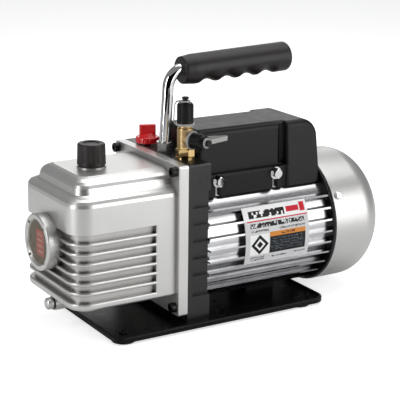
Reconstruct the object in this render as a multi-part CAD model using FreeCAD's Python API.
# Rotary vane vacuum pump: oil case, pump stages, motor, terminal box, handle and base.
# Millimetres. Motor and pump axis along X, oil case at -X, fan cover at +X, +Z up.
# Lengths along X are first measured from the joint face, where the oil case meets the
# black support's plate. Every piece is then moved so that the origin is under its middle.
import FreeCAD
import Part
import math
import os

V = FreeCAD.Vector
X_AXIS = V(1, 0, 0)
Y_AXIS = V(0, 1, 0)
Z_AXIS = V(0, 0, 1)
ORIGIN = V(0, 0, 0)
DOWN = V(0, 0, -1)

# ---- driving dimensions ----
AXIS_Z = 66.0            # height of the motor and pump axis above the table
FRONT_X = -105.5         # front of the sight glass ring
REAR_X = 233.0           # end of the fan cover
SHIFT_X = -(FRONT_X + REAR_X) / 2
RUN_GAP = 0.05           # radial running clearance

# base plate and feet
PLATE_X0 = -63.5
PLATE_X1 = 152.0
PLATE_HALF = 66.0
PLATE_CORNER_FRONT = 7.0
PLATE_CORNER_REAR = 13.0
PLATE_TOP = 5.5
PLATE_RIM = 6.8
PLATE_SKIRT_Z = 2.2
PLATE_THICK = 1.8
FOOT_X = (-51.5, 128.0)
FOOT_Y = 53.5
FOOT_R = 11.0

# oil case and its flange
FLANGE_T = 9.0
FLANGE_HALF = 57.0
FLANGE_Z0 = 11.8
TOP_Z = 144.8
CASE_X0 = -95.0
CASE_HALF = 52.0
CASE_Z0 = 30.0
CASE_TOP = 139.5
CASE_CORNER = 17.0
RIB_COUNT = 7
RIB_PITCH = 8.5
RIB_T = 2.9
RIB_TOP_Z = 87.4
GROOVE_DEPTH = 4.6
GROOVE_END_X = -19.0
SCREW_Y = 51.0
SCREW_Z = (19.5, 139.5)
SIGHT_Z = 80.0
SIGHT_R = 24.5
CAP_X = -53.0
DRAIN_Z = 23.6

# black support
SUP_X0 = FLANGE_T
SUP_X1 = 31.0
RIB_POCKET_X = 13.8
SUP_HALF_IN = 53.3

# fittings on the support
INLET_X = 21.7
INLET_Y = -29.0
SIDE_ANGLE = 20.0
SIDE_Z = 160.7
BALLAST_X = 19.0
BALLAST_Y = 32.0
HANDLE_X = 18.0
HANDLE_R = 5.0
GRIP_X0 = 34.0
GRIP_X1 = 144.0
GRIP_R = 13.2
GRIP_END_R = 11.9
GRIP_COLLAR = 11.0       # length of the cone at the grip's front end
GRIP_Z0 = 216.4
GRIP_RISE = 2.3
NOTCH_X = (58.0, 79.3, 100.1, 120.2)

# pump stages
ROTOR_R = 18.95
BORE_R = 22.0
OFFSET = 3.0
STAGE_R = 34.0
PUMP_SHAFT_R = 7.0
VANE_T = 4.0
VANE_IN = 6.7
VANE_OUT = 18.85
X_MOUNT = 3.0
X_LOW = -25.0
X_MID = -30.0
X_HIGH = -43.0
X_END = -50.0
STAGE_BOLT_R = 29.5

# motor
MOTOR_X1 = 161.5
FIN_R = 58.3
CORE_R = 52.5
BORE_MOTOR_R = 46.0
FIN_PITCH = 10.4
LOW_FIN = -5             # fins are counted from the axis, upward
HIGH_FIN = 3
FIN_T = 1.6
STACK_X0 = 58.0
STACK_X1 = 122.0
SHAFT_R = 6.0
BEARING_R = 16.0
BEARING_W = 10.0
BELL_R = 60.5
COVER_X0 = 163.5
COVER_R = 61.3
COVER_X1 = 195.0
COVER_T = 1.5
TIE_R = 49.2

# terminal box
BOX_X0 = 34.0
BOX_X1 = 160.0
BOX_TOP = 165.5
BOX_STEP_X = 122.0
SKIRT_HALF = 36.0
SKIRT_Z0 = 107.5
SKIRT_Z1 = 127.0
BOX_WALL = 2.5
BOX_SCREW_X = (51.5, 111.5)
BOX_SCREW_Z = 121.5
BOX_FIT_GAP = 0.2
PAD_Z = 119.5            # top of the flat pad that the capacitor lies on

parts = {}


# ---- helpers ----
def cyl(r, base, axis, length):
    return Part.makeCylinder(r, length, base, axis)


def cyl_x(r, x0, x1, y=0.0, z=AXIS_Z):
    return cyl(r, V(x0, y, z), X_AXIS, x1 - x0)


def cyl_y(r, y0, y1, x, z):
    return cyl(r, V(x, y0, z), Y_AXIS, y1 - y0)


def cyl_z(r, z0, z1, x=0.0, y=0.0):
    return cyl(r, V(x, y, z0), Z_AXIS, z1 - z0)


def box(x0, x1, y0, y1, z0, z1):
    return Part.makeBox(x1 - x0, y1 - y0, z1 - z0, V(x0, y0, z0))


def fuse(shapes):
    first = shapes[0]
    if len(shapes) == 1:
        return first
    return first.multiFuse(shapes[1:]).removeSplitter()


def cut(shape, tools):
    return shape.cut(Part.makeCompound(tools)) if len(tools) == 1 else shape.cut(tools)


def polygon(points):
    return Part.Face(Part.makePolygon(points + [points[0]]))


def round_edges(shape, radius, keep):
    """Fillet the edges whose middle point passes the keep test."""
    chosen = []
    for edge in shape.Edges:
        middle = edge.valueAt((edge.FirstParameter + edge.LastParameter) / 2)
        if keep(middle, edge):
            chosen.append(edge)
    return shape.makeFillet(radius, chosen)


def round_rect_wire(x0, x1, half, r0, r1, z):
    """Rectangle in plan: corner radius r0 at the x0 end, r1 at the x1 end."""
    corners = [(x0, -half, r0), (x1, -half, r1), (x1, half, r1), (x0, half, r0)]
    edges = []
    ends = []
    for i, (x, y, r) in enumerate(corners):
        px, py, pr = corners[i - 1]
        nx, ny, nr = corners[(i + 1) % 4]
        to_prev = V(px - x, py - y, 0).normalize()
        to_next = V(nx - x, ny - y, 0).normalize()
        corner = V(x, y, z)
        start = corner + to_prev * r
        end = corner + to_next * r
        middle = corner + (to_prev + to_next) * (r * (1 - math.sqrt(0.5)))
        ends.append((start, middle, end))
    for i, (start, middle, end) in enumerate(ends):
        edges.append(Part.Arc(start, middle, end).toShape())
        following = ends[(i + 1) % 4][0]
        edges.append(Part.LineSegment(end, following).toShape())
    return Part.Wire(edges)


def round_slab(x0, x1, half, r0, r1, z0, z1):
    face = Part.Face(round_rect_wire(x0, x1, half, r0, r1, z0))
    return face.extrude(V(0, 0, z1 - z0))


def regular_prism(sides, across_flats, base, axis, height, turn=0.0):
    """Prism of a regular polygon that stands on base and points along axis."""
    radius = across_flats / 2 / math.cos(math.pi / sides)
    points = []
    for i in range(sides):
        angle = math.radians(turn) + math.tau * i / sides
        points.append(V(radius * math.cos(angle), radius * math.sin(angle), 0))
    shape = polygon(points).extrude(V(0, 0, height))
    shape.Placement = FreeCAD.Placement(base, FreeCAD.Rotation(Z_AXIS, axis))
    return shape


def hex_prism(across_flats, base, axis, height, turn=0.0):
    return regular_prism(6, across_flats, base, axis, height, turn)


def nut_blank(across_flats, base, axis, height, turn=0.0):
    """Hexagon with its corners turned down at the top, as nuts and heads are."""
    prism = hex_prism(across_flats, base, axis, height, turn)
    corner_r = across_flats / 2 / math.cos(math.pi / 6)
    lower = cyl(corner_r + 0.1, base, axis, height * 0.8)
    cone_base = base + axis * (height * 0.8)
    upper = Part.makeCone(corner_r + 0.1, across_flats / 2 - 0.2, height * 0.2, cone_base, axis)
    return prism.common(lower.fuse(upper))


def socket_screw(tip, axis, length, r, head_r, head_h, socket_af):
    """Cap screw: axis points from the tip to the head."""
    seat = tip + axis * length
    shank = cyl(r, tip, axis, length)
    head = cyl(head_r, seat, axis, head_h)
    rim = [e for e in head.Edges if abs((e.CenterOfMass - seat).dot(axis) - head_h) < 0.01]
    head = head.makeFillet(head_h * 0.15, [e for e in rim if e.Closed and e.Length > head_r])
    socket = hex_prism(socket_af, seat + axis * (head_h * 0.4), axis, head_h)
    return shank.fuse(head).cut(socket).removeSplitter()


def pan_screw(tip, axis, length, r, head_r, head_h):
    """Pan-head screw with a cross recess; axis points from the tip to the head."""
    seat = tip + axis * length
    shank = cyl(r, tip, axis, length)
    head = cyl(head_r, seat, axis, head_h)
    head = head.makeFillet(head_h * 0.6, [top_edge(head, seat, axis, head_h)])
    side = V(0, 0, 1) if abs(axis.z) < 0.9 else V(1, 0, 0)
    other = axis.cross(side)
    tools = []
    for a, b in ((side, other), (other, side)):
        corner = seat + axis * (head_h * 0.4) - a * (head_r * 0.55) - b * (head_r * 0.12)
        base_points = [corner, corner + a * (head_r * 1.1)]
        base_points.append(base_points[1] + b * (head_r * 0.24))
        base_points.append(corner + b * (head_r * 0.24))
        tools.append(polygon(base_points).extrude(axis * head_h))
    return cut(shank.fuse(head), tools).removeSplitter()


def top_edge(solid, seat, axis, height):
    for edge in solid.Edges:
        if edge.Closed and abs((edge.CenterOfMass - seat).dot(axis) - height) < 0.01:
            return edge
    return solid.Edges[0]


def rod_path(points, bends):
    """Wire of straight runs joined by tangent arcs, one bend radius for each inner point."""
    edges = []
    cursor = points[0]
    for i, radius in enumerate(bends):
        corner = points[i + 1]
        back = (points[i] - corner).normalize()
        ahead = (points[i + 2] - corner).normalize()
        half_turn = back.getAngle(ahead) / 2
        reach = radius / math.tan(half_turn)
        start = corner + back * reach
        end = corner + ahead * reach
        bisector = (back + ahead).normalize()
        middle = corner + bisector * (radius / math.sin(half_turn) - radius)
        edges.append(Part.LineSegment(cursor, start).toShape())
        edges.append(Part.Arc(start, middle, end).toShape())
        cursor = end
    edges.append(Part.LineSegment(cursor, points[-1]).toShape())
    return Part.Wire(edges)


def sweep_circle(path, radius):
    first = path.Edges[0]
    start = first.valueAt(first.FirstParameter)
    direction = first.tangentAt(first.FirstParameter)
    circle = Part.Wire([Part.Circle(start, direction, radius).toShape()])
    return path.makePipeShell([circle], True, True)


def strip(points, thickness, width, origin, along, up):
    """Flat strap: points (distance along, distance up) are its middle line, seen from the side."""
    left = []
    right = []
    for i, (a, b) in enumerate(points):
        a0, b0 = points[max(i - 1, 0)]
        a1, b1 = points[min(i + 1, len(points) - 1)]
        length = math.hypot(a1 - a0, b1 - b0)
        na = -(b1 - b0) / length * thickness / 2
        nb = (a1 - a0) / length * thickness / 2
        left.append((a + na, b + nb))
        right.append((a - na, b - nb))
    side = along.cross(up).normalize()
    outline = []
    for a, b in left + right[::-1]:
        outline.append(origin + along * a + up * b - side * (width / 2))
    return polygon(outline).extrude(side * width)


def ring(r_out, r_in, base, axis, height):
    return cyl(r_out, base, axis, height).cut(cyl(r_in, base - axis, axis, height + 2))


def spring(radius, wire, length, turns, base, axis):
    helix = Part.makeHelix(length / turns, length, radius)
    path = Part.Wire(helix.Edges)
    circle = Part.Wire([Part.Circle(V(radius, 0, 0), Y_AXIS, wire / 2).toShape()])
    coil = path.makePipeShell([circle], True, True)
    coil.Placement = FreeCAD.Placement(base, FreeCAD.Rotation(Z_AXIS, axis))
    return coil


# ---- base ----
def make_base():
    outer = plate_slab(0, PLATE_SKIRT_Z, PLATE_RIM)
    outer = round_edges(outer, 1.2, lambda m, e: m.z > PLATE_RIM - 0.01)
    tray = plate_slab(3.4, PLATE_TOP, PLATE_RIM + 1)
    hollow = plate_slab(PLATE_THICK, PLATE_SKIRT_Z - 1, PLATE_TOP - PLATE_THICK)
    saddle = box(97, 127, -15, 15, PLATE_TOP - PLATE_THICK, AXIS_Z - CORE_R + 3)
    saddle = saddle.cut(box(96, 128, -11, 11, PLATE_SKIRT_Z, PLATE_TOP + 3))
    saddle = saddle.cut(cyl_x(CORE_R + RUN_GAP, 90, 140))
    outer = fuse([cut(outer, [tray, hollow]), saddle])
    tools = []
    for x in FOOT_X:
        for y in (-FOOT_Y, FOOT_Y):
            tools.append(cyl_z(2.1, 0, 10, x, y))
    for x, y in base_screw_places():
        tools.append(cyl_z(2.7, 0, AXIS_Z - CORE_R + 2, x, y))
    parts["base_plate"] = cut(outer, tools)


def plate_slab(inset, z0, z1):
    """Slab in the base plate's outline, drawn in by inset."""
    front = PLATE_CORNER_FRONT - inset
    rear = PLATE_CORNER_REAR - inset
    return round_slab(PLATE_X0 + inset, PLATE_X1 - inset, PLATE_HALF - inset, front, rear, z0, z1)


def base_screw_places():
    return [(SUP_X0 + 11, -38.0), (SUP_X0 + 11, 38.0), (112.0, -7.0), (112.0, 7.0)]


def make_feet():
    feet = []
    fasteners = []
    top = PLATE_TOP - PLATE_THICK
    for x in FOOT_X:
        for y in (-FOOT_Y, FOOT_Y):
            foot = Part.makeCone(FOOT_R - 0.8, FOOT_R, top, V(x, y, 0), Z_AXIS)
            foot = foot.cut(cyl_z(4.2, -1, 1.9, x, y)).cut(cyl_z(2.1, 0, 5, x, y))
            foot = foot.common(plate_slab(PLATE_THICK + 0.1, -1, 9))
            feet.append(foot)
            fasteners.append(pan_screw(V(x, y, 9.6), DOWN, 7.7, 2.0, 4.0, 1.5))
            nut = nut_blank(7.0, V(x, y, PLATE_TOP), Z_AXIS, 3.0).cut(cyl_z(2.0, 5, 9, x, y))
            fasteners.append(nut)
    for x, y in base_screw_places():
        tip_z = 16.0 if x < SUP_X1 else AXIS_Z - CORE_R + 3.5
        fasteners.append(socket_screw(V(x, y, tip_z), DOWN, tip_z - top, 2.5, 4.5, 2.6, 3.0))
    parts["rubber_feet"] = Part.makeCompound(feet)
    parts["base_fasteners"] = Part.makeCompound(fasteners)


# ---- oil case ----
def case_levels():
    """Plan outline at each height of the stepped top: front x, half width, corner radius, z."""
    return [
        (CASE_X0, CASE_HALF, CASE_CORNER, 96.0),
        (CASE_X0, CASE_HALF, CASE_CORNER, 118.5),
        (CASE_X0 + 0.5, CASE_HALF - 0.5, CASE_CORNER - 0.5, 121.4),
        (CASE_X0 + 2.0, CASE_HALF - 2.0, CASE_CORNER - 1.6, 123.6),
        (CASE_X0 + 4.2, CASE_HALF - 4.6, CASE_CORNER - 3.2, 124.8),
        (CASE_X0 + 6.6, CASE_HALF - 7.6, CASE_CORNER - 4.6, 125.6),
        (CASE_X0 + 8.4, CASE_HALF - 9.6, CASE_CORNER - 5.8, 127.0),
        (CASE_X0 + 8.9, CASE_HALF - 10.4, CASE_CORNER - 6.2, 129.4),
        (CASE_X0 + 9.4, CASE_HALF - 11.2, CASE_CORNER - 6.6, 132.0),
        (CASE_X0 + 10.4, CASE_HALF - 12.6, CASE_CORNER - 7.2, 134.4),
        (CASE_X0 + 12.2, CASE_HALF - 15.2, CASE_CORNER - 8.2, 136.6),
        (CASE_X0 + 14.8, CASE_HALF - 18.6, CASE_CORNER - 9.2, 138.4),
        (CASE_X0 + 18.0, CASE_HALF - 22.4, CASE_CORNER - 10.0, CASE_TOP),
    ]


def case_outer():
    wires = [round_rect_wire(x, SUP_X0 - 4, half, r, 0.5, z) for x, half, r, z in case_levels()]
    dome = Part.makeLoft(wires, True, True)
    inset = GROOVE_DEPTH
    core = round_slab(
        CASE_X0 + inset, SUP_X0 - 4, CASE_HALF - inset, CASE_CORNER - inset, 0.5, CASE_Z0 + 3, 100)
    block = round_slab(GROOVE_END_X, SUP_X0 - 4, CASE_HALF, 1.0, 0.5, CASE_Z0 + 3, 100)
    foot = round_slab(CASE_X0, SUP_X0 - 4, CASE_HALF, CASE_CORNER, 0.5, CASE_Z0, CASE_Z0 + 6.4)
    foot = round_edges(foot, 3.0, lambda m, e: m.z < CASE_Z0 + 0.01 and m.x < 4)
    foot = round_edges(foot, 1.2, lambda m, e: m.z > CASE_Z0 + 6.39 and m.x < 4)
    solids = [dome, core, block, foot]
    for i in range(1, RIB_COUNT):
        z = RIB_TOP_Z - RIB_PITCH * (i - 1)
        rib = round_slab(CASE_X0, SUP_X0 - 4, CASE_HALF, CASE_CORNER, 0.5, z - RIB_T / 2, z + RIB_T / 2)
        rib = round_edges(rib, 1.2, lambda m, e, z=z: abs(abs(m.z - z) - RIB_T / 2) < 0.01 and m.x < 4)
        solids.append(rib)
    return fuse(solids)


def case_cavity():
    lower = round_slab(CASE_X0 + 9, FLANGE_T + 1, 43.5, 9.0, 0.5, CASE_Z0 + 4.5, 119)
    upper = round_slab(CASE_X0 + 14, FLANGE_T + 1, 36.0, 8.0, 0.5, 118, 134.4)
    return lower.fuse(upper)


def make_oil_case():
    flange = box(0, FLANGE_T, -FLANGE_HALF, FLANGE_HALF, FLANGE_Z0, TOP_Z)
    flange = round_edges(flange, 2.0, lambda m, e: abs(m.x - FLANGE_T / 2) < 0.01)
    flange = round_edges(flange, 0.8, lambda m, e: m.x < 0.01)
    boss = cyl_x(SIGHT_R - 0.6, -100.5, CASE_X0 + 12, 0, SIGHT_Z)
    fill_boss = cyl_z(12.6, CASE_TOP - 4, CASE_TOP + 0.8, CAP_X, 0)
    drain_boss = cyl_x(6.6, -91.0, -64.0, 0, DRAIN_Z)
    drain_web = box(-90.0, -66.0, -6.0, 6.0, DRAIN_Z, CASE_Z0 + 4)
    body = fuse([case_outer(), flange, boss, fill_boss, drain_boss, drain_web])
    trough = cyl_x(STAGE_R + 0.3, X_END - 7, FLANGE_T + 1)
    tools = [case_cavity(), trough]
    tools.append(cyl_x(16.5, -110, CASE_X0 + 14, 0, SIGHT_Z))
    tools.append(cyl_x(19.4, -110, -96.0, 0, SIGHT_Z))
    tools.append(cyl_z(8.0, 125, 145, CAP_X, 0))
    tools.append(cyl_x(3.4, -95, -68.0, 0, DRAIN_Z))
    tools.append(cyl_z(2.4, DRAIN_Z, 40, -70.5, 0))
    for y in (-SCREW_Y, SCREW_Y):
        for z in SCREW_Z:
            tools.append(cyl_x(2.65, -3, 12, y, z))
    tools.append(seal_loop(47.5, 1.1, FLANGE_T - 1.7, FLANGE_T + 1))
    parts["oil_case"] = cut(body, tools)


def seal_loop(half, half_w, x0, x1):
    """Rectangular loop round the case opening, lying in the joint face."""
    low, high = 26.5, 140.0
    mid = (low + high) / 2
    tall = (high - low) / 2

    def slab(grow):
        wire = round_rect_wire(-tall - grow, tall + grow, half + grow, 8 + grow, 8 + grow, 0)
        face = Part.Face(wire).extrude(V(0, 0, x1 - x0))
        turn = FreeCAD.Rotation(Y_AXIS, 90)
        face.Placement = FreeCAD.Placement(V(x0, 0, mid), turn)
        return face

    return slab(half_w).cut(slab(-half_w))


def make_case_seal_and_screws():
    parts["case_seal"] = seal_loop(47.5, 1.0, FLANGE_T - 1.7, FLANGE_T)
    screws = []
    for y in (-SCREW_Y, SCREW_Y):
        for z in SCREW_Z:
            screws.append(socket_screw(V(22, y, z), V(-1, 0, 0), 22.0, 2.5, 4.25, 5.0, 4.0))
    parts["case_screws"] = Part.makeCompound(screws)


def make_sight_glass():
    outer = cyl_x(SIGHT_R, FRONT_X, -100.5, 0, SIGHT_Z)
    outer = round_edges(outer, 1.4, lambda m, e: e.Closed and m.x < FRONT_X + 0.01)
    neck = cyl_x(19.2, -100.5, -98.6, 0, SIGHT_Z)
    body = outer.fuse(neck)
    body = body.cut(cyl_x(17.0, -108, -96, 0, SIGHT_Z))
    body = body.cut(Part.makeCone(20.4, 17.0, 4.4, V(FRONT_X, 0, SIGHT_Z), X_AXIS))
    notches = []
    for i in range(4):
        angle = math.radians(45 + 90 * i)
        y = 20.6 * math.cos(angle)
        z = SIGHT_Z + 20.6 * math.sin(angle)
        notches.append(cyl_x(1.3, FRONT_X - 1, FRONT_X + 1.6, y, z))
    parts["sight_glass_ring"] = cut(body, notches)
    parts["sight_glass"] = cyl_x(18.6, -98.6, -96.6, 0, SIGHT_Z)
    plate = box(-93.6, -92.8, -7.0, 7.0, SIGHT_Z - 16.2, SIGHT_Z + 16.2)
    parts["level_plate"] = plate.common(cyl_x(16.4, -94, -92, 0, SIGHT_Z))


def make_fill_cap():
    z0 = CASE_TOP + 2.4
    height = 18.0
    knob = Part.makeCone(12.3, 11.8, height, V(CAP_X, 0, z0), Z_AXIS)
    knob = round_edges(knob, 1.6, lambda m, e: e.Closed and m.z > z0 + height - 0.01)
    flutes = []
    for i in range(12):
        angle = math.tau * i / 12
        flutes.append(cyl_z(1.5, z0 + 2.6, z0 + height + 1,
                            CAP_X + 13.2 * math.cos(angle), 13.2 * math.sin(angle)))
    knob = cut(knob, flutes)
    plug = cyl_z(7.7, CASE_TOP - 7, z0 + 1, CAP_X, 0)
    vent = cyl_z(4.5, CASE_TOP - 8, z0 + 6, CAP_X, 0)
    dish = cyl_z(7.0, z0 + height - 0.8, z0 + height + 1, CAP_X, 0)
    parts["oil_fill_cap"] = knob.fuse(plug).cut(vent).cut(dish).removeSplitter()
    parts["oil_fill_seal"] = ring(11.4, 8.1, V(CAP_X, 0, CASE_TOP + 0.8), Z_AXIS, 1.6)


def make_drain():
    knob = cyl_x(5.2, -98.4, -92.4, 0, DRAIN_Z)
    knob = round_edges(knob, 1.0, lambda m, e: e.Closed and m.x < -98.3)
    socket = hex_prism(5.0, V(-99, 0, DRAIN_Z), X_AXIS, 3.6)
    shank = cyl_x(3.1, -93, -79.0, 0, DRAIN_Z)
    parts["drain_plug"] = knob.fuse(shank).cut(socket).removeSplitter()
    parts["drain_seal"] = ring(5.6, 3.4, V(-92.4, 0, DRAIN_Z), X_AXIS, 1.4)


# ---- support ----
def make_support():
    plate = box(SUP_X0, RIB_POCKET_X, -FLANGE_HALF, FLANGE_HALF, PLATE_TOP, TOP_Z)
    block = box(SUP_X0, SUP_X1, -SUP_HALF_IN, SUP_HALF_IN, PLATE_TOP, TOP_Z)
    head = box(SUP_X0, SUP_X1, -FLANGE_HALF, FLANGE_HALF, 121.0, TOP_Z)
    toe = box(SUP_X0, SUP_X1, -FLANGE_HALF, FLANGE_HALF, PLATE_TOP, 28.0)
    solids = [plate, block, head, toe]
    for i in range(5):
        z = 44.8 + 15.1 * i
        solids.append(box(SUP_X0, SUP_X1 - 0.6, -FLANGE_HALF, FLANGE_HALF, z - 1.4, z + 1.4))
    body = fuse(solids)
    body = round_edges(body, 1.5, lambda m, e: e.Length > 15 and m.z > TOP_Z - 0.01)
    tools = [cyl_x(21.0, SUP_X0 + 5, SUP_X1 + 1), cyl_x(13.0, SUP_X0 - 1, SUP_X0 + 6)]
    for y0, y1 in ((-49, -27), (27, 49)):
        tools.append(box(17, SUP_X1 + 1, y0, y1, 42, 62))
    for y in (-SCREW_Y, SCREW_Y):
        for z in SCREW_Z:
            tools.append(cyl_x(2.5, SUP_X0 - 1, 22, y, z))
    for x, y in base_screw_places()[:2]:
        tools.append(cyl_z(2.5, PLATE_TOP - 1, 16, x, y))
    for y, z in stage_bolt_places():
        tools.append(cyl_x(2.5, SUP_X0 - 1, 18, y, z))
    for y, z in tie_bolt_places():
        tools.append(cyl_x(2.0, 20, SUP_X1 + 1, y, z))
    tools.append(cyl_z(4.0, 128, TOP_Z + 1, INLET_X, INLET_Y))
    tools.append(cyl_z(3.0, 74, 130, INLET_X, INLET_Y))
    tools.append(cyl_x(3.0, SUP_X0 - 1, INLET_X, INLET_Y, AXIS_Z + 10))
    tools.append(cyl_z(5.4, 126, 137, BALLAST_X, BALLAST_Y))
    tools.append(cyl_z(3.0, 136, TOP_Z + 1, BALLAST_X, BALLAST_Y))
    tools.append(cyl_z(2.0, 74, 130, BALLAST_X, BALLAST_Y))
    tools.append(cyl_x(2.0, SUP_X0 - 1, BALLAST_X, BALLAST_Y, AXIS_Z + 10))
    tools.append(cyl_z(HANDLE_R, 127, TOP_Z + 1, HANDLE_X, 0))
    parts["pump_support"] = cut(body, tools)


def stage_bolt_places():
    places = []
    for i in range(4):
        angle = math.radians(45 + 90 * i)
        places.append((STAGE_BOLT_R * math.cos(angle), AXIS_Z + STAGE_BOLT_R * math.sin(angle)))
    return places


def tie_bolt_places():
    places = []
    for i in range(4):
        angle = math.radians(45 + 90 * i)
        places.append((TIE_R * math.cos(angle), AXIS_Z + TIE_R * math.sin(angle)))
    return places


# ---- fittings on top ----
def side_direction():
    angle = math.radians(SIDE_ANGLE)
    return V(math.sin(angle), -math.cos(angle), 0)


def make_inlet_fitting():
    base = V(INLET_X, INLET_Y, TOP_Z)
    out = side_direction()
    centre = V(INLET_X, INLET_Y, SIDE_Z)
    collar = nut_blank(14.2, base + Z_AXIS * 1.0, Z_AXIS, 7.6, 20)
    washer = cyl_z(8.1, TOP_Z, TOP_Z + 1.2, INLET_X, INLET_Y)
    body = cyl_z(6.9, TOP_Z + 8, TOP_Z + 26.2, INLET_X, INLET_Y)
    body = round_edges(body, 1.0, lambda m, e: e.Closed and m.z > TOP_Z + 26.1)
    spigot = cyl_z(4.0, 133, TOP_Z + 1, INLET_X, INLET_Y)
    top_neck = cyl_z(5.5, TOP_Z + 26, TOP_Z + 40, INLET_X, INLET_Y)
    top_cone = Part.makeCone(5.5, 3.6, 4.0, V(INLET_X, INLET_Y, TOP_Z + 40), Z_AXIS)
    side_neck = cyl(5.5, centre, out, 15.4)
    side_cone = Part.makeCone(5.5, 3.6, 3.6, centre + out * 15.4, out)
    shoulder = cyl(6.6, centre, out, 7.2)
    solids = [collar, washer, body, spigot, top_neck, top_cone, side_neck, side_cone, shoulder]
    tools = [cyl_z(2.6, 130, TOP_Z + 50, INLET_X, INLET_Y), cyl(2.4, centre, out, 22)]
    parts["inlet_fitting"] = cut(fuse(solids), tools)


def port_cap(base, axis, length, r, r_end, stud):
    """Fluted screw cap that stands on base; its bore leaves room for the port's male thread."""
    body = cyl(r, base, axis, length - 2.0)
    end = Part.makeCone(r, r_end, 2.0, base + axis * (length - 2.0), axis)
    knob = cyl(2.3, base + axis * length, axis, stud)
    lip = cyl(3.0, base + axis * (length + stud - 1.4), axis, 1.4)
    shape = fuse([body, end, knob, lip])
    side = Z_AXIS if abs(axis.z) < 0.5 else X_AXIS
    other = axis.cross(side)
    tools = []
    for i in range(14):
        angle = math.tau * i / 14
        spot = base + side * (r * 1.035 * math.cos(angle)) + other * (r * 1.035 * math.sin(angle))
        tools.append(cyl(0.75, spot + axis * 2.0, axis, length))
    tools.append(cyl(5.8, base - axis, axis, length - 1.6))
    return cut(shape, tools)


def make_port_caps():
    top_base = V(INLET_X, INLET_Y, TOP_Z + 30.4)
    parts["top_port_cap"] = port_cap(top_base, Z_AXIS, 17.0, 7.1, 6.0, 5.0)
    out = side_direction()
    centre = V(INLET_X, INLET_Y, SIDE_Z)
    side_base = centre + out * 9.6
    parts["side_port_cap"] = port_cap(side_base, out, 12.6, 7.1, 5.6, 4.6)


def make_tethers():
    left = V(-0.853, 0.522, 0)
    foot = V(INLET_X, INLET_Y, 0)
    neck = ring(8.2, 5.9, foot + Z_AXIS * (TOP_Z + 28.4), Z_AXIS, 1.6)
    eye_z = TOP_Z + 30.4 + 17.0 + 0.9
    eye = ring(4.4, 2.7, foot + Z_AXIS * eye_z, Z_AXIS, 1.2)
    z0 = TOP_Z + 29.2
    line = [(6.4, z0), (8.6, z0 + 0.3), (9.6, z0 + 1.6), (9.7, z0 + 4), (9.3, z0 + 12)]
    line += [(8.8, z0 + 17), (7.6, z0 + 19.2), (5.6, eye_z + 0.7), (3.6, eye_z + 0.6)]
    strap = strip(line, 0.9, 3.4, foot, left, Z_AXIS)
    parts["top_cap_tether"] = fuse([neck, eye, strap.cut(cyl_z(5.9, TOP_Z, TOP_Z + 31, INLET_X, INLET_Y))
                                    .cut(cyl_z(2.7, eye_z - 2, eye_z + 3, INLET_X, INLET_Y))])
    out = side_direction()
    centre = V(INLET_X, INLET_Y, SIDE_Z)
    across = V(-out.y, out.x, 0)
    neck = ring(8.2, 5.9, centre + out * 7.6, out, 1.6)
    eye = ring(4.4, 2.7, centre + out * 23.0, out, 1.2)
    line = [(6.6, 8.4), (9.0, 8.5), (11.0, 9.6), (18.0, 15.8), (25.0, 21.2), (26.9, 22.8)]
    line += [(27.0, 24.4), (25.4, 25.2), (20.0, 24.8), (10.0, 24.0), (3.6, 23.6)]
    strap = strip(line, 0.9, 3.6, centre, across, out)
    strap = strap.cut(cyl(5.9, centre, out, 9.5)).cut(cyl(2.7, centre + out * 20, out, 9))
    parts["side_cap_tether"] = fuse([neck, eye, strap])


def make_ballast():
    z0 = TOP_Z + 1.0
    disc = cyl_z(10.5, z0 + 0.4, z0 + 5.6, BALLAST_X, BALLAST_Y)
    disc = round_edges(disc, 1.2, lambda m, e: e.Closed and m.z > z0 + 5.5)
    notches = []
    for i in range(16):
        angle = math.tau * i / 16
        notches.append(cyl_z(0.8, z0, z0 + 7, BALLAST_X + 10.9 * math.cos(angle),
                             BALLAST_Y + 10.9 * math.sin(angle)))
    disc = cut(disc, notches)
    blade = box(-7.4, 7.4, -2.2, 2.2, z0 + 5, z0 + 16.2)
    blade = round_edges(blade, 1.4, lambda m, e: abs(m.x) > 7.3 and abs(m.y) > 2.1)
    blade = round_edges(blade, 1.0, lambda m, e: m.z > z0 + 16.1)
    hub = Part.makeCone(7.6, 4.6, 3.0, V(0, 0, z0 + 5.4), Z_AXIS)
    grip = blade.fuse(hub)
    grip.Placement = FreeCAD.Placement(V(BALLAST_X, BALLAST_Y, 0), FreeCAD.Rotation(Z_AXIS, -18))
    spindle = cyl_z(2.6, 132.0, z0 + 1, BALLAST_X, BALLAST_Y)
    parts["ballast_knob"] = fuse([disc, grip, spindle])
    parts["ballast_poppet"] = cyl_z(4.6, 128.6, 131.9, BALLAST_X, BALLAST_Y)


def handle_points():
    lean = math.radians(3.6)
    low = V(HANDLE_X, 0, 128.0)
    bend_z = 216.0
    bend = V(HANDLE_X + (bend_z - TOP_Z) * math.tan(lean), 0, bend_z)
    foot = V(HANDLE_X, 0, TOP_Z + 3)
    end = V(GRIP_X1 - 6.0, 0, GRIP_Z0 + GRIP_RISE)
    return [low, foot, bend, end]


def make_handle():
    path = rod_path(handle_points(), [40.0, 17.0])
    outer = sweep_circle(path, HANDLE_R)
    inner = sweep_circle(path, HANDLE_R - 1.4)
    parts["handle_tube"] = outer.cut(inner)
    nut = nut_blank(14.0, V(HANDLE_X, 0, TOP_Z), Z_AXIS, 8.4, 12)
    parts["handle_nut"] = nut.cut(outer).cut(cyl_z(HANDLE_R, TOP_Z - 1, TOP_Z + 10, HANDLE_X, 0))


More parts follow.
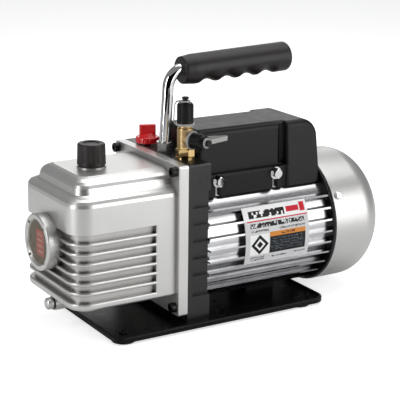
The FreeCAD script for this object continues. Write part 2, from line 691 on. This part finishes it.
def make_grip():
    low = V(GRIP_X0, 0, GRIP_Z0)
    rise = math.atan2(GRIP_RISE, GRIP_X1 - GRIP_X0)
    axis = V(math.cos(rise), 0, math.sin(rise))
    length = GRIP_X1 - GRIP_X0
    collar = Part.makeCone(GRIP_END_R, GRIP_R, GRIP_COLLAR, low, axis)
    body = collar.fuse(cyl(GRIP_R, low + axis * GRIP_COLLAR, axis, length - GRIP_COLLAR))
    body = round_edges(body, 5.0, lambda m, e: e.Closed and (m - low).dot(axis) > length - 0.1)
    body = round_edges(body, 2.0, lambda m, e: e.Closed and (m - low).dot(axis) < 0.1)
    scoops = []
    for x in NOTCH_X:
        scoops.append(cyl_y(12.0, -20, 20, x, GRIP_Z0 + (x - GRIP_X0) * math.tan(rise) - GRIP_R - 9.5))
    body = cut(body, scoops)
    parts["handle_grip"] = body.cut(sweep_circle(rod_path(handle_points(), [40.0, 17.0]), HANDLE_R))


# ---- pump stages ----
def stage_bore(x0, x1):
    return cyl_x(BORE_R, x0, x1, 0, AXIS_Z - OFFSET)


def stage_ring(x0, x1):
    body = cyl_x(STAGE_R, x0, x1)
    tools = [stage_bore(x0 - 1, x1 + 1)]
    tools += [cyl_x(2.6, x0 - 1, x1 + 1, y, z) for y, z in stage_bolt_places()]
    return cut(body, tools)


def stage_plate(x0, x1, r, hole_r):
    body = cyl_x(r, x0, x1)
    tools = [cyl_x(hole_r, x0 - 1, x1 + 1)]
    tools += [cyl_x(2.6, x0 - 1, x1 + 1, y, z) for y, z in stage_bolt_places()]
    return cut(body, tools)


def make_stages():
    bore = PUMP_SHAFT_R + RUN_GAP
    mount = stage_plate(X_MOUNT, SUP_X0, STAGE_R, bore)
    mount = mount.cut(cyl_x(3.0, X_MOUNT - 1, SUP_X0 + 1, INLET_Y, AXIS_Z + 10))
    parts["stage_mount_plate"] = mount.cut(cyl_x(2.0, X_MOUNT - 1, SUP_X0 + 1, BALLAST_Y, AXIS_Z + 10))
    low = stage_ring(X_LOW, X_MOUNT)
    low = low.cut(cyl_x(2.6, -14, X_MOUNT + 1, INLET_Y, AXIS_Z + 10))
    parts["low_stage_body"] = low.cut(cyl_y(2.6, INLET_Y, -15, -11.0, AXIS_Z + 10))
    middle = stage_plate(X_MID, X_LOW, STAGE_R, bore)
    parts["stage_middle_plate"] = middle.cut(cyl_x(2.5, X_MID - 1, X_LOW + 1, 12.0, AXIS_Z + 12))
    high = stage_ring(X_HIGH, X_MID)
    high = high.cut(box(X_HIGH - 1, X_MID + 1, -22, 22, AXIS_Z + 28.0, AXIS_Z + 40))
    high = high.cut(cyl_z(2.0, AXIS_Z + 14, AXIS_Z + 30, -36.5, 8.0))
    parts["high_stage_body"] = high.cut(cyl_z(1.5, AXIS_Z + 21, AXIS_Z + 30, -36.5, -11.0))
    parts["stage_end_plate"] = stage_plate(X_END, X_HIGH, STAGE_R, bore)
    bolts = [socket_screw(V(17, y, z), V(-1, 0, 0), 17 - X_END, 2.5, 4.25, 5.0, 4.0)
             for y, z in stage_bolt_places()]
    parts["stage_bolts"] = Part.makeCompound(bolts)


def vane_stages():
    gap = RUN_GAP
    return {"low": (X_LOW + gap, X_MOUNT - gap), "high": (X_HIGH + gap, X_MID - gap)}


def make_rotor():
    shaft = cyl_x(PUMP_SHAFT_R, X_END + 0.5, 20.0)
    solids = [shaft] + [cyl_x(ROTOR_R, x0, x1) for x0, x1 in vane_stages().values()]
    rotor = fuse(solids)
    half = VANE_T / 2 + RUN_GAP
    tools = []
    for x0, x1 in vane_stages().values():
        tools.append(box(x0 - 0.01, x1 + 0.01, -ROTOR_R - 1, -VANE_IN + 0.1, AXIS_Z - half, AXIS_Z + half))
        tools.append(box(x0 - 0.01, x1 + 0.01, VANE_IN - 0.1, ROTOR_R + 1, AXIS_Z - half, AXIS_Z + half))
    for x in spring_places():
        tools.append(cyl_y(1.9, -8, 8, x, AXIS_Z))
    parts["pump_rotor"] = cut(rotor, tools)


def spring_places():
    return [-18.0, -4.0, -36.5]


def make_vanes():
    for stage, (x0, x1) in vane_stages().items():
        for name, side in (("a", -1), ("b", 1)):
            y0 = min(side * VANE_IN, side * VANE_OUT)
            y1 = max(side * VANE_IN, side * VANE_OUT)
            vane = box(x0 + 0.05, x1 - 0.05, y0, y1, AXIS_Z - VANE_T / 2, AXIS_Z + VANE_T / 2)
            tip = y1 if side > 0 else y0
            vane = round_edges(vane, 1.0, lambda m, e, t=tip: abs(m.y - t) < 0.01 and e.Length > 10)
            parts[stage + "_stage_vane_" + name] = vane
    springs = []
    reach = VANE_IN - 0.35
    for x in spring_places():
        springs.append(spring(1.3, 0.5, 2 * reach, 6, V(x, -reach, AXIS_Z), Y_AXIS))
    parts["vane_springs"] = Part.makeCompound(springs)


def make_exhaust_valve():
    z = AXIS_Z + 28.0
    leaf = box(-40.5, -32.5, -15.0, 12.0, z, z + 0.3)
    leaf = leaf.cut(cyl_z(1.6, z - 1, z + 1, -36.5, -11.0))
    parts["exhaust_valve_leaf"] = leaf
    stop_line = [(-15.0, 0.95), (-6.0, 0.95), (2.0, 1.8), (12.0, 3.6)]
    stop = strip(stop_line, 1.0, 8.0, V(-36.5, 0, z), Y_AXIS, Z_AXIS)
    stop = stop.cut(cyl_z(1.6, z - 1, z + 3, -36.5, -11.0))
    screw = pan_screw(V(-36.5, -11.0, z - 5.5), Z_AXIS, 7.0, 1.5, 3.0, 2.0)
    parts["valve_stop"] = Part.makeCompound([stop, screw])


# ---- drive ----
def sector(r0, r1, x0, x1, start, end):
    points = [V(x0, r0 * math.cos(start), AXIS_Z + r0 * math.sin(start))]
    points.append(V(x0, r1 * math.cos(start), AXIS_Z + r1 * math.sin(start)))
    points.append(V(x0, r1 * math.cos(end), AXIS_Z + r1 * math.sin(end)))
    points.append(V(x0, r0 * math.cos(end), AXIS_Z + r0 * math.sin(end)))
    mid = (start + end) / 2
    outer_mid = V(x0, r1 * math.cos(mid), AXIS_Z + r1 * math.sin(mid))
    inner_mid = V(x0, r0 * math.cos(mid), AXIS_Z + r0 * math.sin(mid))
    edges = [Part.LineSegment(points[0], points[1]).toShape()]
    edges.append(Part.Arc(points[1], outer_mid, points[2]).toShape())
    edges.append(Part.LineSegment(points[2], points[3]).toShape())
    edges.append(Part.Arc(points[3], inner_mid, points[0]).toShape())
    return Part.Face(Part.Wire(edges)).extrude(V(x1 - x0, 0, 0))


def make_coupling():
    jaw_x0 = 20.2
    jaw_x1 = 24.4
    pump_hub = ring(18.0, PUMP_SHAFT_R, V(15.4, 0, AXIS_Z), X_AXIS, 4.6)
    motor_hub = ring(18.0, SHAFT_R, V(24.6, 0, AXIS_Z), X_AXIS, 4.8)
    jaw = math.radians(22)
    spider = [cyl_x(8.6, jaw_x0, jaw_x1)]
    pump_jaws = [pump_hub]
    motor_jaws = [motor_hub]
    for i in range(3):
        angle = math.tau * i / 3
        pump_jaws.append(sector(9.0, 17.5, 19.5, jaw_x1, angle - jaw, angle + jaw))
        other = angle + math.pi / 3
        motor_jaws.append(sector(9.0, 17.5, jaw_x0, 25.0, other - jaw, other + jaw))
    for i in range(6):
        angle = math.tau * i / 6 + math.pi / 6
        wide = math.radians(7)
        spider.append(sector(8.0, 17.0, jaw_x0, jaw_x1, angle - wide, angle + wide))
    parts["coupling_hubs"] = Part.makeCompound([fuse(pump_jaws), fuse(motor_jaws)])
    parts["coupling_spider"] = fuse(spider)
    seal = ring(13.0, PUMP_SHAFT_R + RUN_GAP, V(SUP_X0, 0, AXIS_Z), X_AXIS, 5.0)
    groove = ring(11.5, 8.6, V(SUP_X0 + 1.5, 0, AXIS_Z), X_AXIS, 5.0)
    parts["shaft_seal"] = seal.cut(groove)


def ball_bearing(x0):
    centre = V(x0, 0, AXIS_Z)
    outer = ring(BEARING_R, BEARING_R - 3.0, centre, X_AXIS, BEARING_W)
    inner = ring(9.0, SHAFT_R + RUN_GAP, centre, X_AXIS, BEARING_W)
    pitch_r = (BEARING_R - 3.0 + 9.0) / 2
    balls = []
    for i in range(7):
        angle = math.tau * i / 7
        spot = V(x0 + BEARING_W / 2, pitch_r * math.cos(angle), AXIS_Z + pitch_r * math.sin(angle))
        balls.append(Part.makeSphere(2.0, spot))
    return [outer, inner] + balls


# ---- motor ----
def make_motor_housing():
    x0, x1 = SUP_X1, MOTOR_X1
    solids = [cyl_x(CORE_R, x0, x1)]
    envelope = cyl_x(FIN_R, x0 - 1, x1 + 1)
    for i in range(LOW_FIN, HIGH_FIN + 1):
        z = AXIS_Z + FIN_PITCH * i
        fin = box(x0, x1, -FIN_R, FIN_R, z - FIN_T / 2, z + FIN_T / 2)
        solids.append(fin.common(envelope))
    ears = box(BOX_X0 + 3, BOX_STEP_X - 2, -32.6, -27.0, 95, 124.2)
    solids.append(ears)
    solids.append(ears.mirror(ORIGIN, Y_AXIS))
    solids.append(box(BOX_X0 + 3, 147, -30, 30, 105, PAD_Z))
    body = fuse(solids)
    saddle_room = box(96.5, 127.5, -15.5, 15.5, 10, AXIS_Z - CORE_R + 3.5)
    tools = [cyl_x(BORE_MOTOR_R, x0 - 1, x1 + 1), saddle_room.cut(cyl_x(CORE_R, 90, 140))]
    tools += [cyl_x(2.1, x0 - 1, x1 + 1, y, z) for y, z in tie_bolt_places()]
    tools += [cyl_z(2.5, 0, AXIS_Z - CORE_R + 3.5, x, y) for x, y in base_screw_places()[2:]]
    for x in BOX_SCREW_X:
        tools.append(cyl_y(2.0, -40, 40, x, BOX_SCREW_Z))
    parts["motor_housing"] = cut(body, tools)


def make_motor_inside():
    core = cyl_x(BORE_MOTOR_R, STACK_X0, STACK_X1)
    tools = [cyl_x(23.0, STACK_X0 - 1, STACK_X1 + 1)]
    for i in range(24):
        angle = math.tau * i / 24
        y = 29.0 * math.cos(angle)
        z = AXIS_Z + 29.0 * math.sin(angle)
        tools.append(cyl_x(2.3, STACK_X0 - 1, STACK_X1 + 1, y, z))
    parts["stator_core"] = cut(core, tools)
    coils = []
    for x0, x1 in ((STACK_X0 - 12, STACK_X0), (STACK_X1, STACK_X1 + 12)):
        coil = ring(36.0, 25.5, V(x0, 0, AXIS_Z), X_AXIS, x1 - x0)
        coils.append(round_edges(coil, 3.0, lambda m, e: e.Closed))
    parts["stator_windings"] = Part.makeCompound(coils)
    rotor = cyl_x(22.6, STACK_X0, STACK_X1)
    rings = [cyl_x(20.5, STACK_X0 - 5, STACK_X0), cyl_x(20.5, STACK_X1, STACK_X1 + 5)]
    rotor = fuse([rotor] + rings)
    parts["rotor_core"] = rotor.cut(cyl_x(8.0, 40, 140))
    shaft = fuse([cyl_x(SHAFT_R, 24.8, 186.0), cyl_x(8.0, STACK_X0 - 8, STACK_X1 + 8)])
    parts["motor_shaft"] = shaft


def make_bearings_and_ends():
    front_x = 33.0
    rear_x = MOTOR_X1 - 10.0
    plate = fuse([cyl_x(BORE_MOTOR_R, SUP_X1, SUP_X1 + 5), cyl_x(21.0, SUP_X1, 44.0)])
    tools = [cyl_x(BEARING_R, front_x, 45.0), cyl_x(10.0, SUP_X1 - 1, 45.0)]
    parts["front_end_plate"] = cut(plate, tools)
    drum = cyl_x(BELL_R, MOTOR_X1, COVER_X0)
    drum = round_edges(drum, 1.5, lambda m, e: e.Closed and m.x < MOTOR_X1 + 0.01)
    web_x1 = MOTOR_X1 + 4.0
    spigot = cyl_x(COVER_R - COVER_T - 0.1, COVER_X0, 172.5)
    hub = cyl_x(21.0, rear_x - 2.0, web_x1)
    bell = fuse([drum, spigot, hub]).cut(cyl_x(55.5, web_x1, 174.0))
    tools = [cyl_x(BEARING_R, rear_x, MOTOR_X1), cyl_x(10.0, rear_x - 4, 175.0)]
    for i in range(8):
        angle = math.tau * (i + 0.5) / 8
        y = 30.0 * math.cos(angle)
        z = AXIS_Z + 30.0 * math.sin(angle)
        tools.append(cyl_x(7.0, 150, web_x1 + 1, y, z))
    tools += [cyl_x(2.1, MOTOR_X1 - 1, web_x1 + 1, y, z) for y, z in tie_bolt_places()]
    for tip, axis in cover_screw_places():
        tools.append(cyl(1.5, tip, axis, 12))
    parts["rear_end_bell"] = cut(bell, tools)
    parts["motor_bearings"] = Part.makeCompound(ball_bearing(front_x) + ball_bearing(rear_x))
    bolts = []
    for y, z in tie_bolt_places():
        bolts.append(socket_screw(V(24.0, y, z), X_AXIS, web_x1 - 24.0, 2.0, 3.5, 4.0, 3.0))
    parts["tie_bolts"] = Part.makeCompound(bolts)


def cover_screw_places():
    """Tip point and outward direction of each screw that holds the fan cover."""
    places = []
    for degrees in (30, 150, 270):
        angle = math.radians(degrees)
        axis = V(0, math.cos(angle), math.sin(angle))
        places.append((V(169.5, 0, AXIS_Z) + axis * (COVER_R - 7.0), axis))
    return places


def make_fan():
    hub = cyl_x(11.0, 176.0, 192.0)
    disc = cyl_x(40.0, 176.0, 178.0)
    solids = [hub, disc]
    for i in range(8):
        blade = box(176.0, 192.0, 9.0, 50.0, AXIS_Z - 1, AXIS_Z + 1)
        blade.rotate(V(0, 0, AXIS_Z), X_AXIS, 45 * i)
        solids.append(blade)
    fan = fuse(solids)
    parts["cooling_fan"] = fan.cut(cyl_x(SHAFT_R, 170, 186.0))


def dome_profile(r, x0, x1, apex):
    """Half outline of the cover: a straight wall and a quarter of an ellipse."""
    wall = Part.LineSegment(V(x0, 0, r), V(x1, 0, r)).toShape()
    long_axis = apex - x1
    points = []
    for i in range(13):
        t = math.pi / 2 * i / 12
        points.append(V(x1 + long_axis * math.sin(t), 0, r * math.cos(t)))
    curve = Part.BSplineCurve()
    curve.interpolate(points, InitialTangent=V(1, 0, 0), FinalTangent=V(0, 0, -1))
    base = Part.LineSegment(V(x0, 0, 0), V(x0, 0, r)).toShape()
    line = Part.LineSegment(V(apex, 0, 0), V(x0, 0, 0)).toShape()
    face = Part.Face(Part.Wire([base, wall, curve.toShape(), line]))
    solid = face.revolve(ORIGIN, X_AXIS, 360)
    solid.translate(V(0, 0, AXIS_Z))
    return solid


def make_fan_cover():
    outer = dome_profile(COVER_R, COVER_X0, COVER_X1, REAR_X)
    inner = dome_profile(COVER_R - COVER_T, COVER_X0 - 1, COVER_X1, REAR_X - COVER_T)
    shell = outer.cut(inner)
    tools = []
    for i in range(-3, 4):
        z = AXIS_Z + 9.0 * i
        reach = math.sqrt(32.0 ** 2 - (9.0 * i) ** 2)
        tools.append(box(205, 240, -reach, -1.5, z - 2.0, z + 2.0))
        tools.append(box(205, 240, 1.5, reach, z - 2.0, z + 2.0))
    for tip, axis in cover_screw_places():
        tools.append(cyl(2.0, tip, axis, 12))
    parts["fan_cover"] = cut(shell, tools)
    screws = [pan_screw(tip, axis, 7.0, 1.5, 3.6, 2.0) for tip, axis in cover_screw_places()]
    parts["fan_cover_screws"] = Part.makeCompound(screws)


def make_rating_plate():
    x0, x1 = 66.8, 134.4
    sheet = cyl_x(FIN_R + 0.4, x0, x1).cut(cyl_x(FIN_R, x0 - 1, x1 + 1))
    parts["rating_plate"] = sheet.common(box(x0, x1, -60, 0, AXIS_Z - 18.0, AXIS_Z + 31.6))


# ---- terminal box ----
def box_block(x0, x1, levels):
    """Solid with drafted sides: levels are (half width, z) from the bottom up."""
    half_points = [V(x0, half, z) for half, z in levels]
    other = [V(x0, -half, z) for half, z in levels]
    return polygon(half_points + other[::-1]).extrude(V(x1 - x0, 0, 0))


def wide_profile(inset):
    """Side view of the box's wide rear end: flat top, round shoulder, leaning rear face."""
    x0 = BOX_STEP_X + 3 + inset
    top = BOX_TOP - inset
    shoulder = V(BOX_X1 - 15.0, 0, top)
    low_shoulder = V(BOX_X1 + 0.3 - inset, 0, BOX_TOP - 15.5)
    middle = V(BOX_X1 - 4.6 - inset * 0.8, 0, BOX_TOP - 4.9 - inset * 0.8)
    heel = V(BOX_X1 + 3.0 - inset, 0, 100)
    edges = [Part.LineSegment(V(x0, 0, 100), V(x0, 0, top)).toShape()]
    edges.append(Part.LineSegment(V(x0, 0, top), shoulder).toShape())
    edges.append(Part.Arc(shoulder, middle, low_shoulder).toShape())
    edges.append(Part.LineSegment(low_shoulder, heel).toShape())
    edges.append(Part.LineSegment(heel, V(x0, 0, 100)).toShape())
    face = Part.Face(Part.Wire(edges))
    face.translate(V(0, -50, 0))
    return face.extrude(V(0, 100, 0))


def box_solid():
    """The box's outer form: skirt band, narrow front and wide rear."""
    skirt = box_block(BOX_X0, BOX_STEP_X + 4, [(SKIRT_HALF, SKIRT_Z0), (SKIRT_HALF, SKIRT_Z1)])
    narrow = box_block(BOX_X0, BOX_STEP_X + 14, [(30.0, 105), (27.0, BOX_TOP)])
    wide = box_block(BOX_STEP_X + 3, BOX_X1 + 5, [(SKIRT_HALF, SKIRT_Z0), (31.0, BOX_TOP)])
    return skirt, narrow, wide


def soften(shape, radius):
    """Round the upright edges above the skirt, then the top ones."""
    top = BOX_TOP - 0.01
    upright = round_edges(shape, radius, lambda m, e: 130 < m.z < top and m.x < BOX_X0 + 1 and e.Length > 25)
    return round_edges(upright, radius, lambda m, e: m.z > top and m.x < BOX_STEP_X)


def make_terminal_box():
    skirt, narrow, wide = box_solid()
    skirt = round_edges(skirt, 2.0, lambda m, e: m.z > SKIRT_Z1 - 0.01)
    narrow = soften(narrow, 6.0)
    wide = wide.common(wide_profile(0))
    wide = round_edges(wide, 5.0, lambda m, e: abs(m.y) > 20 and (m.x > BOX_X1 - 13 or m.z > 165))
    wide = round_edges(wide, 2.5, lambda m, e: abs(m.y) > 28 and m.x < BOX_STEP_X + 3.01 and e.Length > 25)
    outer = fuse([skirt, narrow, wide])
    groove = [cyl_z(3.6, SKIRT_Z1 + 1, BOX_TOP + 1, BOX_STEP_X, y) for y in (-29.6, 29.6)]
    groove += [cyl_z(2.8, 100, SKIRT_Z1 + 2, BOX_STEP_X, y) for y in (-37.0, 37.0)]
    outer = cut(outer, groove)
    s = BOX_WALL
    inner = []
    inner.append(box(BOX_X0 + s, BOX_STEP_X + 8, -33.0, 33.0, 90, SKIRT_Z1 - s))
    inner.append(box_block(BOX_X0 + s, BOX_STEP_X - 4.4, [(30.0 - s, 105), (27.0 - s, BOX_TOP - s - 1)]))
    inner.append(box_block(BOX_STEP_X - 6, BOX_STEP_X + 8, [(23.0, 105), (21.0, BOX_TOP - s - 1)]))
    wide_inner = box_block(BOX_STEP_X + 6, BOX_X1 + 5, [(SKIRT_HALF - s, 100), (31.0 - 2 * s, BOX_TOP - s)])
    inner.append(wide_inner.common(wide_profile(s)))
    tools = [fuse(inner)]
    tools.append(cyl_x(CORE_R + BOX_FIT_GAP, BOX_X0 - 5, MOTOR_X1))
    tools.append(cyl_x(BELL_R + BOX_FIT_GAP, MOTOR_X1 - 0.2, COVER_X0))
    for x in BOX_SCREW_X:
        tools.append(cyl_y(2.6, -45, 45, x, BOX_SCREW_Z))
        for y0, y1 in ((-45, -32), (32, 45)):
            tools.append(box(x - 2.6, x + 2.6, y0, y1, 95, BOX_SCREW_Z))
    tools.append(box(58.0 - 14.2, 58.0 + 14.2, 20, 40, 136.0, 157.0))
    tools.append(box(96.0 - 11.0, 96.0 + 11.0, 20, 40, 137.0, 155.0))
    parts["terminal_box"] = cut(outer, tools)


def make_box_screws():
    screws = []
    for x in BOX_SCREW_X:
        for side in (-1, 1):
            axis = V(0, side, 0)
            tip = V(x, side * 28.0, BOX_SCREW_Z)
            seat = V(x, side * SKIRT_HALF, BOX_SCREW_Z)
            shank = cyl(2.0, tip, axis, 8.5)
            washer = cyl(5.6, seat, axis, 1.0)
            head = nut_blank(8.0, seat + axis * 0.8, axis, 4.6, 30)
            screws.append(fuse([shank, washer, head]))
    parts["box_screws"] = Part.makeCompound(screws)


def make_capacitor():
    y, z = -8.0, PAD_Z + 15.0
    body = cyl_x(15.0, 42.0, 106.0, y, z)
    body = round_edges(body, 1.5, lambda m, e: e.Closed)
    studs = [box(105.5, 112.0, y + d - 0.4, y + d + 0.4, z - 3, z + 3) for d in (-5.0, 5.0)]
    parts["capacitor"] = fuse([body] + studs)


def make_power_inlet():
    x, z = 58.0, 146.5
    flange = box(x - 17.0, x + 17.0, 30.6, 33.0, z - 12.4, z + 12.4)
    flange = round_edges(flange, 2.5, lambda m, e: abs(m.y - 31.8) < 0.1)
    body = box(x - 14.0, x + 14.0, 12.0, 31.0, z - 10.3, z + 10.3)
    cavity = box(x - 12.0, x + 12.0, 17.0, 34.0, z - 8.2, z + 8.2)
    socket = flange.fuse(body).cut(cavity).removeSplitter()
    pins = []
    for px, pz in ((-7.0, -2.0), (0.0, 2.2), (7.0, -2.0)):
        pins.append(box(x + px - 1.0, x + px + 1.0, 13.0, 30.0, z + pz - 2.0, z + pz + 2.0))
    parts["power_inlet"] = Part.makeCompound([cut(socket, pins)] + pins)


def make_switch():
    x, z = 96.0, 146.0
    flange = box(x - 13.0, x + 13.0, 30.6, 32.6, z - 10.6, z + 10.6)
    flange = round_edges(flange, 1.5, lambda m, e: abs(m.y - 31.6) < 0.1)
    body = box(x - 10.8, x + 10.8, 16.0, 31.0, z - 8.8, z + 8.8)
    well = box(x - 8.8, x + 8.8, 19.0, 34.0, z - 6.8, z + 6.8)
    parts["switch_frame"] = flange.fuse(body).cut(well).removeSplitter()
    outline = [V(-7.6, 30.2, z - 6.2), V(-7.6, 35.0, z - 6.2), V(0, 33.6, z - 6.2)]
    outline += [V(7.6, 35.0, z - 6.2), V(7.6, 30.2, z - 6.2), V(0, 24.0, z - 6.2)]
    rocker = polygon(outline).extrude(V(0, 0, 12.4))
    rocker.translate(V(x, 0, 0))
    rocker = rocker.fuse(cyl_z(1.2, z - 6.7, z + 6.7, x, 30.0))
    rocker.rotate(V(x, 30.0, z), Z_AXIS, -8)
    parts["switch_rocker"] = rocker


# ---- build and write ----
def build():
    make_base()
    make_feet()
    make_oil_case()
    make_case_seal_and_screws()
    make_sight_glass()
    make_fill_cap()
    make_drain()
    make_support()
    make_inlet_fitting()
    make_port_caps()
    make_tethers()
    make_ballast()
    make_handle()
    make_grip()
    make_stages()
    make_rotor()
    make_vanes()
    make_exhaust_valve()
    make_coupling()
    make_motor_housing()
    make_motor_inside()
    make_bearings_and_ends()
    make_fan()
    make_fan_cover()
    make_rating_plate()
    make_terminal_box()
    make_box_screws()
    make_capacitor()
    make_power_inlet()
    make_switch()


def write():
    os.makedirs("parts", exist_ok=True)
    for name, shape in parts.items():
        shape.translate(V(SHIFT_X, 0, 0))
        bounds = shape.BoundBox
        state = "ok" if shape.isValid() else "INVALID"
        print(f"{name:22s} {state:8s} solids {len(shape.Solids):3d} volume {shape.Volume / 1000:9.2f} cm3"
              f"  x {bounds.XMin:7.1f} {bounds.XMax:7.1f}  y {bounds.YMin:6.1f} {bounds.YMax:6.1f}"
              f"  z {bounds.ZMin:6.1f} {bounds.ZMax:6.1f}")
        shape.exportStep(os.path.join("parts", name + ".step"))
    print(len(parts), "nodes")


build()
write()
